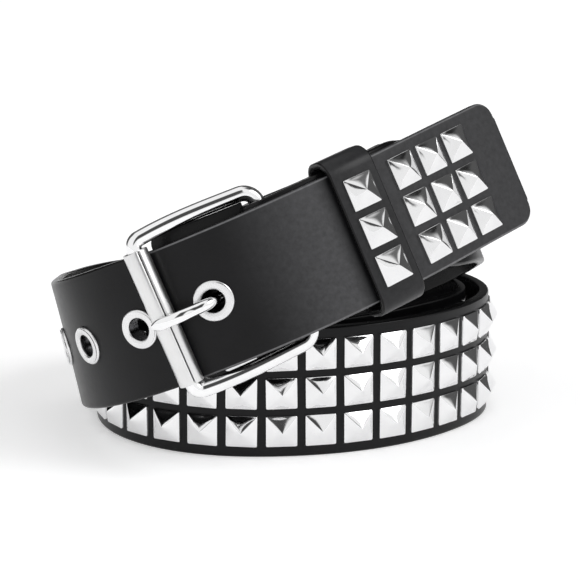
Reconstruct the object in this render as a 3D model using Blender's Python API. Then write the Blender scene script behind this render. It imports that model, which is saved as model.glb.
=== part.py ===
# Studded belt, wound in three turns and buckled, standing on its lower edges.
# Lengths are in metres, angles in degrees, +Z is up and the buckle faces -Y.

import math
from collections import namedtuple

import bmesh
import bpy
import numpy as np

for old_object in list(bpy.data.objects):
    bpy.data.objects.remove(old_object)

# Strap
strap_width = 0.040
strap_thickness = 0.003
edge_bevel = 0.0006
tip_corner = 0.008
plain_step = 0.006

# Gaps between pieces, and between one turn of the coil and the next
clearance = 0.0003
turn_gap = 0.0005

# Pyramid studs
stud_size = 0.0096
stud_pitch = 0.0118
stud_skirt = 0.0008
stud_height = 0.0040
stud_rows = 3
tip_columns = 3
tip_margin = 0.0149
keeper_to_field = 0.018

# Coil, and the tilt of its top run towards the side and the front
coil_radius = 0.060
side_tilt = 23.3
front_tilt = 5.7
tilt_foot = 0.0807

# Eyelets, with the end of the tip and the last of the field of studs beyond them
eyelet_count = 5
eyelet_pitch = 0.025
eyelet_hole = 0.0066
eyelet_flange = 0.0120
eyelet_rim = 0.0011
eyelet_wall = 0.0008
eyelet_back = 0.0108
eyelet_back_thickness = 0.0005
hole_to_tip = 0.1119
eyelet_to_field = 0.013

# Buckle
wire_diameter = 0.0046
frame_play = 0.0014
frame_corner = 0.0027
frame_bow = 0.0006
hole_to_roller = 0.014
hole_to_hinge = 0.0230
roller_diameter = 0.0074
roller_wall = 0.00095
prong_diameter = 0.0031
prong_ring_wall = 0.0018
prong_tip_width = 0.0032
prong_tip_thickness = 0.0020
slot_play = 0.0004

# Fold of the strap round the hinge bar, and its two rivets
fold_past_keeper = 0.012
fold_closing = 0.014
rivet_shank = 0.003
rivet_head = 0.0064
rivet_head_thickness = 0.0008
rivet_to_fold_end = 0.0065
rivet_spacing = 0.020

# Keeper
hole_to_keeper = 0.051
keeper_width = 0.015
keeper_thickness = 0.002
keeper_play = 0.0022
keeper_slack = 0.0009
keeper_corner = 0.0022

# Facets
turn_step = 0.5
wire_sides = 12
round_sides = 14
rod_sides = 10
rod_sections = 20
bend_steps = 4
fold_steps = 6

half_width = strap_width / 2
half_thickness = strap_thickness / 2
wire_radius = wire_diameter / 2
bar_half = half_width + frame_play + wire_radius
frame_shift = frame_play - clearance
roller_length = 2 * (bar_half - frame_corner - clearance)
roller_radius = roller_diameter / 2
rod_radius = prong_diameter / 2
plain_layer = strap_thickness + clearance
studded_layer = strap_thickness + stud_height + turn_gap
fold_radius = wire_radius + clearance + half_thickness
seat = half_thickness + clearance

# One row for each station along the strap: the turn angle seen from the coil's middle,
# the reach as a share of coil_radius, the studded layers outside the coil's outer turn,
# the plain layers tucked under the top run, and the shares of the top run's tilt that
# lift its middle line and that lean its width.
Station = namedtuple("Station", "turn reach layers tucked tilt lean")

front_run = [
    Station(933, 1.184, 1, 0, 1, 0.62),
    Station(946, 1.278, 1, 0, 1, 0.80),
    Station(961, 1.335, 1, 0, 1, 0.85),
    Station(976.5, 1.323, 1, 0, 1, 0.86),
    Station(991, 1.262, 1, 0, 1, 0.92),
    Station(1008, 1.159, 1, 0, 1, 0.98),
]

tip_run = [
    Station(1019, 1.105, 1, 0, 1, 1),
    Station(1030, 1.069, 1, 0, 1, 1),
    Station(1039, 1.066, 1, 0, 1, 1),
    Station(1055.2, 1.139, 1, 0, 1, 1),
]

under_run = [
    Station(-61, 1.090, 1, -1, 1, 1),
    Station(-53, 1.010, 0.9, -0.9, 1, 1),
    Station(-41, 0.968, 0.5, -0.5, 0.96, 0.97),
    Station(-25, 0.942, 0, 0, 0.91, 0.93),
    Station(-8, 0.985, -0.7, 0, 0.85, 0.88),
    Station(20, 1.030, -1.8, 0, 0.74, 0.78),
    Station(50, 1.010, -2, 0, 0.62, 0.68),
]

coil_run = [
    Station(90, 0.985, -2, 0, 0.46, 0.52),
    Station(120, 1.000, -1.65, 0, 0.30, 0.34),
    Station(150, 1.030, -1.25, 0, 0.12, 0.14),
    Station(180, 1.025, -1, 0, 0, 0),
    Station(210, 1.066, -1, 0, 0, 0),
    Station(240, 1.060, -1, 0, 0, 0),
    Station(270, 0.985, -1.2, 0, 0, 0),
    Station(300, 0.955, -1.5, 0, 0, 0),
    Station(330, 0.990, -1.6, 0, 0, 0),
    Station(360, 1.065, -1, 0, 0, 0),
    Station(390, 1.030, -1, 0, 0, 0),
    Station(420, 1.000, -1, 0, 0, 0),
    Station(450, 0.985, -1, 0, 0, 0),
    Station(480, 1.000, -0.65, 0, 0, 0),
    Station(510, 1.030, -0.25, 0, 0, 0),
    Station(540, 1.025, 0, 0, 0, 0),
    Station(570, 1.066, 0, 0, 0, 0),
    Station(600, 1.060, 0, 0, 0, 0),
    Station(630, 0.985, 0, 0, 0, 0),
    Station(660, 0.955, 0, 0, 0, 0),
    Station(690, 0.990, 0, 0, 0, 0),
    Station(720, 1.065, 0, 0, 0, 0),
    Station(750, 1.030, 0, 0, 0, 0),
    Station(780, 1.000, 0, 0, 0, 0),
    Station(810, 0.985, 0, 0, 0, 0),
    Station(840, 1.003, 0.35, 0, 0.2, 0.1),
    Station(870, 1.040, 0.75, 0, 0.6, 0.28),
    Station(900, 1.038, 1, 0, 1, 0.44),
    Station(917, 1.076, 1, 0, 1, 0.52),
]


def tucked_under(station):
    """The same station three turns earlier, one plain layer under the top run."""
    return station._replace(turn=station.turn - 3 * 360, tucked=-1)


def spline(knots, values, at):
    """Natural cubic spline through the rows of values."""
    gaps = np.diff(knots)[:, None]
    slopes = np.diff(values, axis=0) / gaps
    count = len(knots)
    matrix = np.eye(count)
    bends = np.zeros_like(values)
    for i in range(1, count - 1):
        matrix[i, i - 1] = gaps[i - 1, 0]
        matrix[i, i] = 2 * (gaps[i - 1, 0] + gaps[i, 0])
        matrix[i, i + 1] = gaps[i, 0]
        bends[i] = 6 * (slopes[i] - slopes[i - 1])
    bends = np.linalg.solve(matrix, bends)
    i = np.clip(np.searchsorted(knots, at) - 1, 0, count - 2)
    gap = gaps[i]
    after = (at - knots[i])[:, None] / gap
    before = 1 - after
    curve = (before**3 - before) * bends[i] + (after**3 - after) * bends[i + 1]
    return before * values[i] + after * values[i + 1] + curve * gap**2 / 6


def unit(vectors):
    return vectors / np.linalg.norm(vectors, axis=-1, keepdims=True)


def lay_route():
    """Dense points of the strap's middle line, with the along, across and outward ways."""
    stations = [tucked_under(row) for row in front_run]
    stations += under_run + coil_run + front_run + tip_run
    rows = np.array(stations, dtype=float)
    turn = np.arange(rows[0, 0], rows[-1, 0], turn_step)
    reach, layers, tucked, tilt, lean = spline(rows[:, 0], rows[:, 1:], turn).T
    tilt = np.clip(tilt, 0, 1)
    lean = np.clip(lean, 0, 1)
    angle = np.radians(turn)
    points = np.column_stack([np.cos(angle), np.sin(angle), np.zeros_like(angle)])
    points *= (coil_radius * reach)[:, None]
    upright = np.array([0.0, 0.0, 1.0])
    aside = np.cross(unit(np.gradient(points, axis=0)), upright)
    points += aside * (layers * studded_layer + tucked * plain_layer)[:, None]
    side_slope = math.tan(math.radians(side_tilt))
    front_slope = math.tan(math.radians(front_tilt))
    rise = side_slope * (points[:, 0] + tilt_foot) - front_slope * points[:, 1]
    points[:, 2] = half_width + tilt * rise
    along = unit(np.gradient(points, axis=0))
    tilted = unit(np.array([-side_slope, front_slope, 1.0]))
    across = upright + (tilted - upright) * lean[:, None]
    across = unit(across - (across * along).sum(axis=1, keepdims=True) * along)
    return points, along, across, np.cross(along, across)


route = lay_route()
route_points = route[0]
steps_along = np.linalg.norm(np.diff(route_points, axis=0), axis=1)
route_lengths = np.concatenate([[0], np.cumsum(steps_along)])


def route_at(length):
    """Middle point, and the along, across and outward ways, at a length on the route."""
    found = [
        np.array([np.interp(length, route_lengths, table[:, axis]) for axis in range(3)])
        for table in route
    ]
    return found[0], unit(found[1]), unit(found[2]), unit(found[3])


def on_route(length, across, outward):
    middle, _, width_way, face_way = route_at(length)
    return middle + across * width_way + outward * face_way


# Lengths on the route, worked back from the end of the tip
tip_end = route_lengths[-1]
hole_at = tip_end - hole_to_tip
hinge_at = hole_at + hole_to_hinge
roller_at = hole_at - hole_to_roller
keeper_at = hole_at + hole_to_keeper

# The under run starts straight over the hinge bar, one plain layer under the top run.
over_hinge = on_route(hinge_at, 0, -plain_layer)
early_points = route_points[: len(route_points) // 8]
nearest = np.argmin(np.linalg.norm(early_points - over_hinge, axis=1))
under_start = route_lengths[nearest]
hinge_axis = on_route(under_start, 0, -fold_radius)
roller_axis = on_route(roller_at, 0, seat + roller_radius)
fold_bend = math.pi * fold_radius
fold_length = keeper_at + keeper_width / 2 + fold_past_keeper - hinge_at


def strap_frame(length):
    """Middle, along, across and outward at a length past the hinge bar, negative in the fold."""
    if length >= 0:
        return route_at(under_start + length)
    if length > -fold_bend:
        _, along, across, outward = route_at(under_start)
        angle = -length / fold_radius
        out = outward * math.cos(angle) - along * math.sin(angle)
        way = outward * math.sin(angle) + along * math.cos(angle)
        return hinge_axis + out * fold_radius, way, across, out
    back = -fold_bend - length
    middle, along, across, outward = route_at(under_start + back)
    share = min(back / fold_closing, 1)
    ease = share * share * (3 - 2 * share)
    depth = 2 * fold_radius + (plain_layer - 2 * fold_radius) * ease
    return middle - outward * depth, -along, across, -outward


def new_material(name, colour, roughness, metallic):
    material = bpy.data.materials.new(name)
    material.use_nodes = True
    shader = material.node_tree.nodes["Principled BSDF"]
    shader.inputs["Base Color"].default_value = (*colour, 1)
    shader.inputs["Roughness"].default_value = roughness
    shader.inputs["Metallic"].default_value = metallic
    material.diffuse_color = (*colour, 1)
    return material


leather = new_material("black_leather", (0.012, 0.012, 0.013), 0.42, 0)
chrome = new_material("chrome", (0.86, 0.87, 0.88), 0.12, 1)
satin_chrome = new_material("satin_chrome", (0.78, 0.79, 0.80), 0.30, 1)

belt_middle = bpy.data.objects.new("belt_middle", None)
bpy.context.collection.objects.link(belt_middle)
pieces = []


def new_piece(name, bm, material, smooth_angle=None, helper=False):
    """Turns a closed bmesh into a named object with its faces pointing out."""
    bmesh.ops.recalc_face_normals(bm, faces=bm.faces)
    mesh = bpy.data.meshes.new(name)
    bm.to_mesh(mesh)
    bm.free()
    if smooth_angle:
        mesh.shade_smooth()
        mesh.set_sharp_from_angle(angle=math.radians(smooth_angle))
    mesh.materials.append(material)
    piece = bpy.data.objects.new(name, mesh)
    bpy.context.collection.objects.link(piece)
    piece.parent = belt_middle
    if helper:
        piece.hide_render = True
        piece.display_type = "WIRE"
    else:
        pieces.append(piece)
    return piece


def combine(piece, helper, operation):
    modifier = piece.modifiers.new(helper.name, "BOOLEAN")
    modifier.operation = operation
    modifier.solver = "EXACT"
    modifier.object = helper


def add_ring(bm, points):
    return [bm.verts.new(point) for point in points]


def bridge(bm, ring, next_ring):
    for i in range(len(ring)):
        j = (i + 1) % len(ring)
        bm.faces.new((ring[i], ring[j], next_ring[j], next_ring[i]))


def add_tube(bm, rings, closed):
    """Bridges rings of points into a closed loop, or into a rod with flat ends."""
    made = [add_ring(bm, points) for points in rings]
    for ring, next_ring in zip(made, made[1:]):
        bridge(bm, ring, next_ring)
    if closed:
        bridge(bm, made[-1], made[0])
    else:
        bm.faces.new(made[0])
        bm.faces.new(made[-1])


def circle_ways(sides):
    angles = [2 * math.pi * i / sides for i in range(sides)]
    return [(math.cos(angle), math.sin(angle)) for angle in angles]


def add_pyramid(bm, corners, outward, base):
    """Skirt corners and four facets of a stud that stands over four corner points."""
    skirt = add_ring(bm, [corner + outward * (base + stud_skirt) for corner in corners])
    apex = bm.verts.new(np.mean(corners, axis=0) + outward * (base + stud_height))
    for i in range(4):
        bm.faces.new((skirt[i], skirt[(i + 1) % 4], apex))
    return skirt


# Strap, with its field of studs
row_places = [(i - (stud_rows - 1) / 2) * stud_pitch for i in range(stud_rows)]
eyelet_places = [hole_at - i * eyelet_pitch for i in range(eyelet_count)]
strap_end = tip_end - under_start
field_start = keeper_at - hinge_at + keeper_width / 2 + keeper_to_field
field_room = eyelet_places[-1] - under_start - eyelet_to_field - field_start
field_columns = int((field_room - stud_size) / stud_pitch) + 1
field_end = field_start + (field_columns - 1) * stud_pitch + stud_size


def strap_section(length, half_span):
    """Ring of points round the strap, from its lower bevel up the outer face and back."""
    middle, _, across, outward = strap_frame(length)
    edges = [place + side * stud_size / 2 for place in row_places for side in (-1, 1)]
    face = half_span - edge_bevel
    levels = [-face, *(edge * half_span / half_width for edge in edges), face]
    ring = [(-half_span, half_thickness - edge_bevel)]
    ring += [(level, half_thickness) for level in levels]
    ring += [(half_span, half_thickness - edge_bevel)]
    ring += [(half_span, -half_thickness), (-half_span, -half_thickness)]
    return [middle + across * v + outward * n for v, n in ring]


def even_steps(start, end, step):
    count = max(1, round((end - start) / step))
    return [start + (end - start) * i / count for i in range(count)]


def strap_stations():
    """(length, half span, studs follow) of each section, from the fold's end to the tip."""
    lengths = even_steps(-fold_bend - fold_length, -fold_bend, plain_step)
    lengths += even_steps(-fold_bend, 0, fold_bend / fold_steps)
    lengths += even_steps(0, field_start, plain_step)
    stations = [(length, half_width, False) for length in lengths]
    for column in range(field_columns):
        near_side = field_start + column * stud_pitch
        stations.append((near_side, half_width, True))
        stations.append((near_side + stud_size, half_width, False))
    corner_start = strap_end - tip_corner
    lengths = even_steps(field_end, corner_start, plain_step)[1:]
    stations += [(length, half_width, False) for length in lengths]
    for step in range(bend_steps + 1):
        angle = math.pi / 2 * step / bend_steps
        length = corner_start + tip_corner * math.sin(angle)
        stations.append((length, half_width - tip_corner * (1 - math.cos(angle)), False))
    return stations


def build_strap():
    bm = bmesh.new()
    stations = strap_stations()
    rings = [add_ring(bm, strap_section(length, span)) for length, span, _ in stations]
    stud_faces = [2 + 2 * row for row in range(stud_rows)]
    for i, (length, _, studded) in enumerate(stations[:-1]):
        ring, next_ring = rings[i], rings[i + 1]
        if not studded:
            bridge(bm, ring, next_ring)
            continue
        outward = strap_frame(length + stud_size / 2)[3]
        for j in range(len(ring)):
            k = (j + 1) % len(ring)
            cell = (ring[j], ring[k], next_ring[k], next_ring[j])
            if j not in stud_faces:
                bm.faces.new(cell)
                continue
            skirt = add_pyramid(bm, [np.array(corner.co) for corner in cell], outward, 0)
            bridge(bm, cell, skirt)
    bm.faces.new(rings[0])
    bm.faces.new(rings[-1])
    return new_piece("strap", bm, leather)


strap = build_strap()

# Eyelets, numbered from the one that the prong is in
barrel_radius = eyelet_hole / 2 + eyelet_wall


def eyelet_profile():
    """(radius, outward) points round one side of an eyelet's section."""
    hole = eyelet_hole / 2
    flange = eyelet_flange / 2
    crown = (hole + flange) / 2
    back = -seat - eyelet_back_thickness
    return [
        (flange, seat),
        (flange - eyelet_rim * 0.15, seat + eyelet_rim * 0.5),
        (crown + eyelet_rim * 0.4, seat + eyelet_rim),
        (crown - eyelet_rim * 0.4, seat + eyelet_rim),
        (hole + eyelet_rim * 0.15, seat + eyelet_rim * 0.4),
        (hole, half_thickness),
        (hole, back),
        (eyelet_back / 2, back),
        (eyelet_back / 2, -seat),
        (barrel_radius, -seat),
        (barrel_radius, seat),
    ]


for number, place in enumerate(eyelet_places, start=1):
    rings = [
        [on_route(place + r * way[0], r * way[1], n) for r, n in eyelet_profile()]
        for way in circle_ways(round_sides)
    ]
    bm = bmesh.new()
    add_tube(bm, rings, closed=True)
    new_piece(f"eyelet_{number}", bm, chrome, 40)


# Rivets of the fold, flush on the side that the tip's run covers
def round_section(length, across, radius, outward, sides):
    return [
        on_route(length + radius * way[0], across + radius * way[1], outward)
        for way in circle_ways(sides)
    ]


rivet_at = under_start + fold_length - rivet_to_fold_end
rivet_sides = (-rivet_spacing / 2, rivet_spacing / 2)
rivet_back = -plain_layer - seat
rivet_profile = [
    (rivet_shank / 2, half_thickness),
    (rivet_shank / 2, rivet_back),
    (rivet_head / 2, rivet_back),
    (rivet_head / 2, rivet_back - rivet_head_thickness),
]
for number, across in enumerate(rivet_sides, start=1):
    rings = [round_section(rivet_at, across, r, n, rod_sides) for r, n in rivet_profile]
    bm = bmesh.new()
    add_tube(bm, rings, closed=False)
    new_piece(f"fold_rivet_{number}", bm, satin_chrome, 40)

# Openings of the strap: eyelet holes, rivet holes and the prong's slot through the fold
prong_ring_radius = wire_radius + clearance + prong_ring_wall
fold_outside = fold_radius + half_thickness
drill_depth = seat + clearance / 2
openings = bmesh.new()
for place in eyelet_places:
    drill = [
        round_section(place, 0, barrel_radius + clearance, side * drill_depth, round_sides)
        for side in (-1, 1)
    ]
    add_tube(openings, drill, closed=False)
for across in rivet_sides:
    drill = [
        round_section(rivet_at, across, rivet_shank / 2 + clearance, outward, rod_sides)
        for outward in (-plain_layer - strap_thickness, half_thickness + clearance / 2)
    ]
    add_tube(openings, drill, closed=False)
slot_half = rod_radius + slot_play
slot_top = -half_thickness - clearance / 2
slot_bottom = -plain_layer - fold_radius - fold_outside - clearance
slot_ends = (hinge_at - 2 * fold_outside, hinge_at + 1.6 * prong_ring_radius)
slot_corners = (
    (-slot_half, slot_bottom),
    (slot_half, slot_bottom),
    (slot_half, slot_top),
    (-slot_half, slot_top),
)
slot_rings = [
    [on_route(length, v, n) for v, n in slot_corners]
    for length in np.linspace(*slot_ends, fold_steps)
]
add_tube(openings, slot_rings, closed=False)
strap_openings = new_piece("strap_openings", openings, leather, helper=True)
combine(strap, strap_openings, "DIFFERENCE")


# Loose studs of the tip and of the keeper
def build_stud(name, length, across, base):
    middle, along, width_way, outward = route_at(length)
    half = stud_size / 2
    corners = [
        middle + width_way * (across + v * half) + along * (a * half)
        for a, v in ((-1, -1), (1, -1), (1, 1), (-1, 1))
    ]
    bm = bmesh.new()
    foot = add_ring(bm, [corner + outward * base for corner in corners])
    bridge(bm, foot, add_pyramid(bm, corners, outward, base))
    bm.faces.new(foot)
    new_piece(name, bm, chrome)


last_column_at = tip_end - tip_margin - stud_size / 2
for column in range(tip_columns):
    length = last_column_at - (tip_columns - 1 - column) * stud_pitch
    for row, across in enumerate(row_places, start=1):
        build_stud(f"tip_stud_{column + 1}{row}", length, across, seat)
for row, across in enumerate(row_places, start=1):
    build_stud(f"keeper_stud_{row}", keeper_at, across, seat + keeper_thickness + clearance)


# Keeper, a loop round the top run, the under run and the fold
def rounded_outline(low, high, corner):
    """(across, outward) points round a rectangle with rounded corners."""
    outline = []
    for v, n, start in (
        (high[0] - corner, high[1] - corner, 0),
        (low[0] + corner, high[1] - corner, 90),
        (low[0] + corner, low[1] + corner, 180),
        (high[0] - corner, low[1] + corner, 270),
    ):
        for step in range(bend_steps + 1):
            angle = math.radians(start + 90 * step / bend_steps)
            outline.append((v + corner * math.cos(angle), n + corner * math.sin(angle)))
    return outline


inside_low = (-half_width - keeper_play, -2 * plain_layer - half_thickness - keeper_slack)
inside_high = (half_width + keeper_play, seat)
outside_low = [value - keeper_thickness for value in inside_low]
outside_high = [value + keeper_thickness for value in inside_high]
inside = rounded_outline(inside_low, inside_high, keeper_corner)
outside = rounded_outline(outside_low, outside_high, keeper_corner + keeper_thickness)
keeper_sections = [keeper_at + keeper_width * share for share in (-0.5, 0, 0.5)]
rings = [
    [on_route(length, *outer_point) for length in keeper_sections]
    + [on_route(length, *inner_point) for length in reversed(keeper_sections)]
    for inner_point, outer_point in zip(inside, outside)
]
bm = bmesh.new()
add_tube(bm, rings, closed=True)
new_piece("keeper", bm, leather, 40)

# Buckle's own ways: along its bars, from the hinge bar to the roller, and outward
bar_way = route_at(hinge_at)[2]
reach_way = roller_axis - hinge_axis
reach_way = unit(reach_way - bar_way * (reach_way @ bar_way))
buckle_face = np.cross(bar_way, reach_way)
frame_reach = (roller_axis - hinge_axis) @ reach_way


def on_buckle(reach, across, outward):
    """A point of the buckle, which sits a little high, with its lower bar near the strap."""
    aside = bar_way * (across + frame_shift)
    return hinge_axis + reach_way * reach + aside + buckle_face * outward


# Frame, one closed loop of round wire whose side bars bow outward
side_run = frame_reach - 2 * frame_corner
bow_table = ((0.10, 0.45), (0.22, 0.80), (0.38, 1), (0.60, 0.85), (0.85, 0.35))
quarter = [math.radians(90 * step / bend_steps) for step in range(bend_steps + 1)]
half_outline = [
    (
        frame_reach - frame_corner * (1 - math.cos(angle)),
        bar_half - frame_corner * (1 - math.sin(angle)),
    )
    for angle in quarter
]
half_outline += [
    (frame_reach - frame_corner - side_run * share, bar_half + frame_bow * bow)
    for share, bow in bow_table
]
half_outline += [
    (frame_corner * (1 - math.sin(angle)), bar_half - frame_corner * (1 - math.cos(angle)))
    for angle in quarter
]
other_half = [(reach, -across) for reach, across in reversed(half_outline)]
outline = np.array(half_outline + other_half)
tangents = unit(np.roll(outline, -1, axis=0) - np.roll(outline, 1, axis=0))
rings = []
for place, tangent in zip(outline, tangents):
    out = np.array([tangent[1], -tangent[0]])
    ring = [
        on_buckle(*(place + out * (wire_radius * way[0])), wire_radius * way[1])
        for way in circle_ways(wire_sides)
    ]
    rings.append(ring)
bm = bmesh.new()
add_tube(bm, rings, closed=True)
new_piece("buckle_frame", bm, chrome, 40)


def build_sleeve(name, reach, middle, bore, radius, length, material, helper=False):
    """A tube round one of the frame's bars."""
    profile = [(-length / 2, bore), (-length / 2, radius), (length / 2, radius), (length / 2, bore)]
    rings = [
        [on_buckle(reach + r * way[0], middle + across, r * way[1]) for across, r in profile]
        for way in circle_ways(round_sides)
    ]
    bm = bmesh.new()
    add_tube(bm, rings, closed=True)
    return new_piece(name, bm, material, 40, helper)


# Roller, a sheet tube on the frame's far bar
roller_bore = roller_radius - roller_wall
build_sleeve("roller", frame_reach, 0, roller_bore, roller_radius, roller_length, satin_chrome)

# Prong, a ring round the hinge bar and a rod that comes up through the first eyelet
PathPoint = namedtuple("PathPoint", "along level half_width half_thickness")
rod_under = -seat - eyelet_back_thickness - 2 * clearance - rod_radius
rod_over = seat + eyelet_rim + 2 * clearance + rod_radius
tip_half = prong_tip_thickness / 2
tip_level = seat + roller_diameter + clearance + tip_half
ring_middle = wire_radius + clearance + prong_ring_wall / 2
hinge_level = -plain_layer - fold_radius
hole_radius = eyelet_hole / 2
flat_width = prong_tip_width / 2
ring_half = prong_ring_wall * 0.42
ring_top = hole_to_hinge - ring_middle * 0.6
prong_path = [
    PathPoint(ring_top, hinge_level + ring_middle * 0.8, rod_radius, ring_half),
    PathPoint(hole_to_hinge - ring_middle * 1.5, rod_under * 1.1, rod_radius, rod_radius * 0.8),
    PathPoint(hole_to_hinge * 0.5, rod_under, rod_radius, rod_radius),
    PathPoint(hole_radius * 1.5, rod_under, rod_radius, rod_radius),
    PathPoint(hole_radius * 0.5, rod_under * 0.85, rod_radius, rod_radius),
    PathPoint(hole_radius * 0.2, rod_under * 0.45, rod_radius, rod_radius),
    PathPoint(0, rod_over * 0.30, rod_radius, rod_radius),
    PathPoint(-hole_radius * 0.5, rod_over * 0.85, rod_radius, rod_radius),
    PathPoint(-hole_radius * 1.5, rod_over * 1.22, rod_radius, rod_radius),
    PathPoint(-hole_to_roller * 0.6, tip_level * 0.83, rod_radius * 1.05, rod_radius * 0.9),
    PathPoint(-hole_to_roller * 0.8, tip_level * 0.97, flat_width * 0.95, tip_half),
    PathPoint(-hole_to_roller, tip_level, flat_width, tip_half),
    PathPoint(-hole_to_roller - roller_radius, tip_level, flat_width * 0.95, tip_half),
]


def build_prong():
    rows = np.array(prong_path)
    run = np.concatenate([[0], np.cumsum(np.linalg.norm(np.diff(rows[:, :2], axis=0), axis=1))])
    rows = spline(run, rows, np.linspace(0, run[-1], rod_sections))
    middles = np.array([on_route(hole_at + along, 0, level) for along, level in rows[:, :2]])
    ups = np.cross(unit(np.gradient(middles, axis=0)), bar_way)
    rings = []
    for middle, up, (_, _, wide, thick) in zip(middles, ups, rows):
        ring = [
            middle + bar_way * (wide * way[0]) + up * (thick * way[1])
            for way in circle_ways(rod_sides)
        ]
        rings.append(ring)
    bm = bmesh.new()
    add_tube(bm, rings, closed=False)
    return new_piece("prong", bm, chrome, 40)


prong = build_prong()
prong_bore = wire_radius + clearance
prong_ring = build_sleeve(
    "prong_ring", 0, -frame_shift, prong_bore, prong_ring_radius, prong_diameter, chrome, True
)
combine(prong, prong_ring, "UNION")

# Origin under the middle of the whole belt, on the surface that it stands on
corners = np.array([vertex.co for piece in pieces for vertex in piece.data.vertices])
low, high = corners.min(axis=0), corners.max(axis=0)
belt_middle.location = (-(low[0] + high[0]) / 2, -(low[1] + high[1]) / 2, -low[2])
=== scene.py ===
import math

import bmesh
import bpy
import numpy as np
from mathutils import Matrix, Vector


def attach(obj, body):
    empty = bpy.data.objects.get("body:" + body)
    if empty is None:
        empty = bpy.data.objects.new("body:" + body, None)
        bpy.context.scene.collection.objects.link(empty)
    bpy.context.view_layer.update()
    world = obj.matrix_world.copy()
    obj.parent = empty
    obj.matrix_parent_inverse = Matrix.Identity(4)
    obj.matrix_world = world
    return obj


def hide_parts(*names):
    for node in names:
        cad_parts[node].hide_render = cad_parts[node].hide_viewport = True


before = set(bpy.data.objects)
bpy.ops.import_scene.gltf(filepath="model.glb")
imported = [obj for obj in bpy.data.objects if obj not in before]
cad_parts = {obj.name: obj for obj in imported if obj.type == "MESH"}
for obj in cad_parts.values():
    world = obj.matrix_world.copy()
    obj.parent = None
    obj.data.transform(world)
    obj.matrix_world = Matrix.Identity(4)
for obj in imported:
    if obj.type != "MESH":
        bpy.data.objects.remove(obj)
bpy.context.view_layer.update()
print("frame loaded,", len(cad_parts), "nodes")

# Route of the strap: turn angle, reach as a share of the coil's radius, studded layers outside
# the outer turn, plain layers tucked under, and the shares of the tilt for height and lean.
route = {
    "coilRadius": 0.060,
    "sideTilt": 23.3,
    "frontTilt": 5.7,
    "tiltFoot": 0.0807,
    "turnStep": 0.5,
    "middle": (0.00073527, 0.01409976, 0.0),
    "front": [
        (933, 1.184, 1, 0, 1, 0.62),
        (946, 1.278, 1, 0, 1, 0.80),
        (961, 1.335, 1, 0, 1, 0.85),
        (976.5, 1.323, 1, 0, 1, 0.86),
        (991, 1.262, 1, 0, 1, 0.92),
        (1008, 1.159, 1, 0, 1, 0.98),
    ],
    "tip": [
        (1019, 1.105, 1, 0, 1, 1),
        (1030, 1.069, 1, 0, 1, 1),
        (1039, 1.066, 1, 0, 1, 1),
        (1055.2, 1.139, 1, 0, 1, 1),
    ],
    "under": [
        (-61, 1.090, 1, -1, 1, 1),
        (-53, 1.010, 0.9, -0.9, 1, 1),
        (-41, 0.968, 0.5, -0.5, 0.96, 0.97),
        (-25, 0.942, 0, 0, 0.91, 0.93),
        (-8, 0.985, -0.7, 0, 0.85, 0.88),
        (20, 1.030, -1.8, 0, 0.74, 0.78),
        (50, 1.010, -2, 0, 0.62, 0.68),
    ],
    "coil": [
        (90, 0.985, -2, 0, 0.46, 0.52),
        (120, 1.000, -1.65, 0, 0.30, 0.34),
        (150, 1.030, -1.25, 0, 0.12, 0.14),
        (180, 1.025, -1, 0, 0, 0),
        (210, 1.066, -1, 0, 0, 0),
        (240, 1.060, -1, 0, 0, 0),
        (270, 0.985, -1.2, 0, 0, 0),
        (300, 0.955, -1.5, 0, 0, 0),
        (330, 0.990, -1.6, 0, 0, 0),
        (360, 1.065, -1, 0, 0, 0),
        (390, 1.030, -1, 0, 0, 0),
        (420, 1.000, -1, 0, 0, 0),
        (450, 0.985, -1, 0, 0, 0),
        (480, 1.000, -0.65, 0, 0, 0),
        (510, 1.030, -0.25, 0, 0, 0),
        (540, 1.025, 0, 0, 0, 0),
        (570, 1.066, 0, 0, 0, 0),
        (600, 1.060, 0, 0, 0, 0),
        (630, 0.985, 0, 0, 0, 0),
        (660, 0.955, 0, 0, 0, 0),
        (690, 0.990, 0, 0, 0, 0),
        (720, 1.065, 0, 0, 0, 0),
        (750, 1.030, 0, 0, 0, 0),
        (780, 1.000, 0, 0, 0, 0),
        (810, 0.985, 0, 0, 0, 0),
        (840, 1.003, 0.35, 0, 0.05, 0.1),
        (870, 1.040, 0.75, 0, 0.30, 0.28),
        (900, 1.038, 1, 0, 0.97, 0.44),
        (917, 1.076, 1, 0, 1, 0.52),
    ],
}

# Where the camera stands, and the sizes that several pieces share
cameraPlace = (0.001015, -0.65260, 0.1802)
belt = {"width": 0.040, "thickness": 0.003, "clearance": 0.0003, "turnGap": 0.0005}
stud = {
    "size": 0.0096,
    "pitch": 0.0118,
    "skirt": 0.0008,
    "height": 0.0035,
    "room": 0.0040,
    "sunk": 0.00018,
    "spin": 0.020,
    "tilt": 0.014,
    "uneven": 0.035,
    "ridge": 0.00020,
    "bulge": 0.00020,
    "rimRound": 0.00018,
}
eyelet = {
    "count": 5,
    "pitch": 0.025,
    "hole": 0.0066,
    "flange": 0.0120,
    "rim": 0.0011,
    "wall": 0.0008,
    "back": 0.0108,
    "backThickness": 0.0005,
    "rimRoll": 0.00055,
    "dish": 0.0008,
    "backRound": 0.0002,
    "boreRound": 0.0003,
    "sides": 56,
}
buckle = {
    "holeToTip": 0.1119,
    "holeToRoller": 0.014,
    "holeToHinge": 0.0230,
    "wire": 0.0046,
    "play": 0.0014,
    "corner": 0.0027,
    "hingeCorner": 0.0044,
    "bow": 0.0006,
    "bowTable": ((0.10, 0.45), (0.22, 0.80), (0.38, 1), (0.60, 0.85), (0.85, 0.35)),
    "rollerDiameter": 0.0074,
    "wireSides": 28,
}
keeper = {
    "holeToKeeper": 0.051,
    "width": 0.015,
    "thickness": 0.002,
    "play": 0.0022,
    "slack": 0.0009,
    "corner": 0.0036,
    "edgeRound": 0.0005,
    # share of the lighter grey painted on the keeper's faces as sheen
    "worn": 0.10,
}

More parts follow.
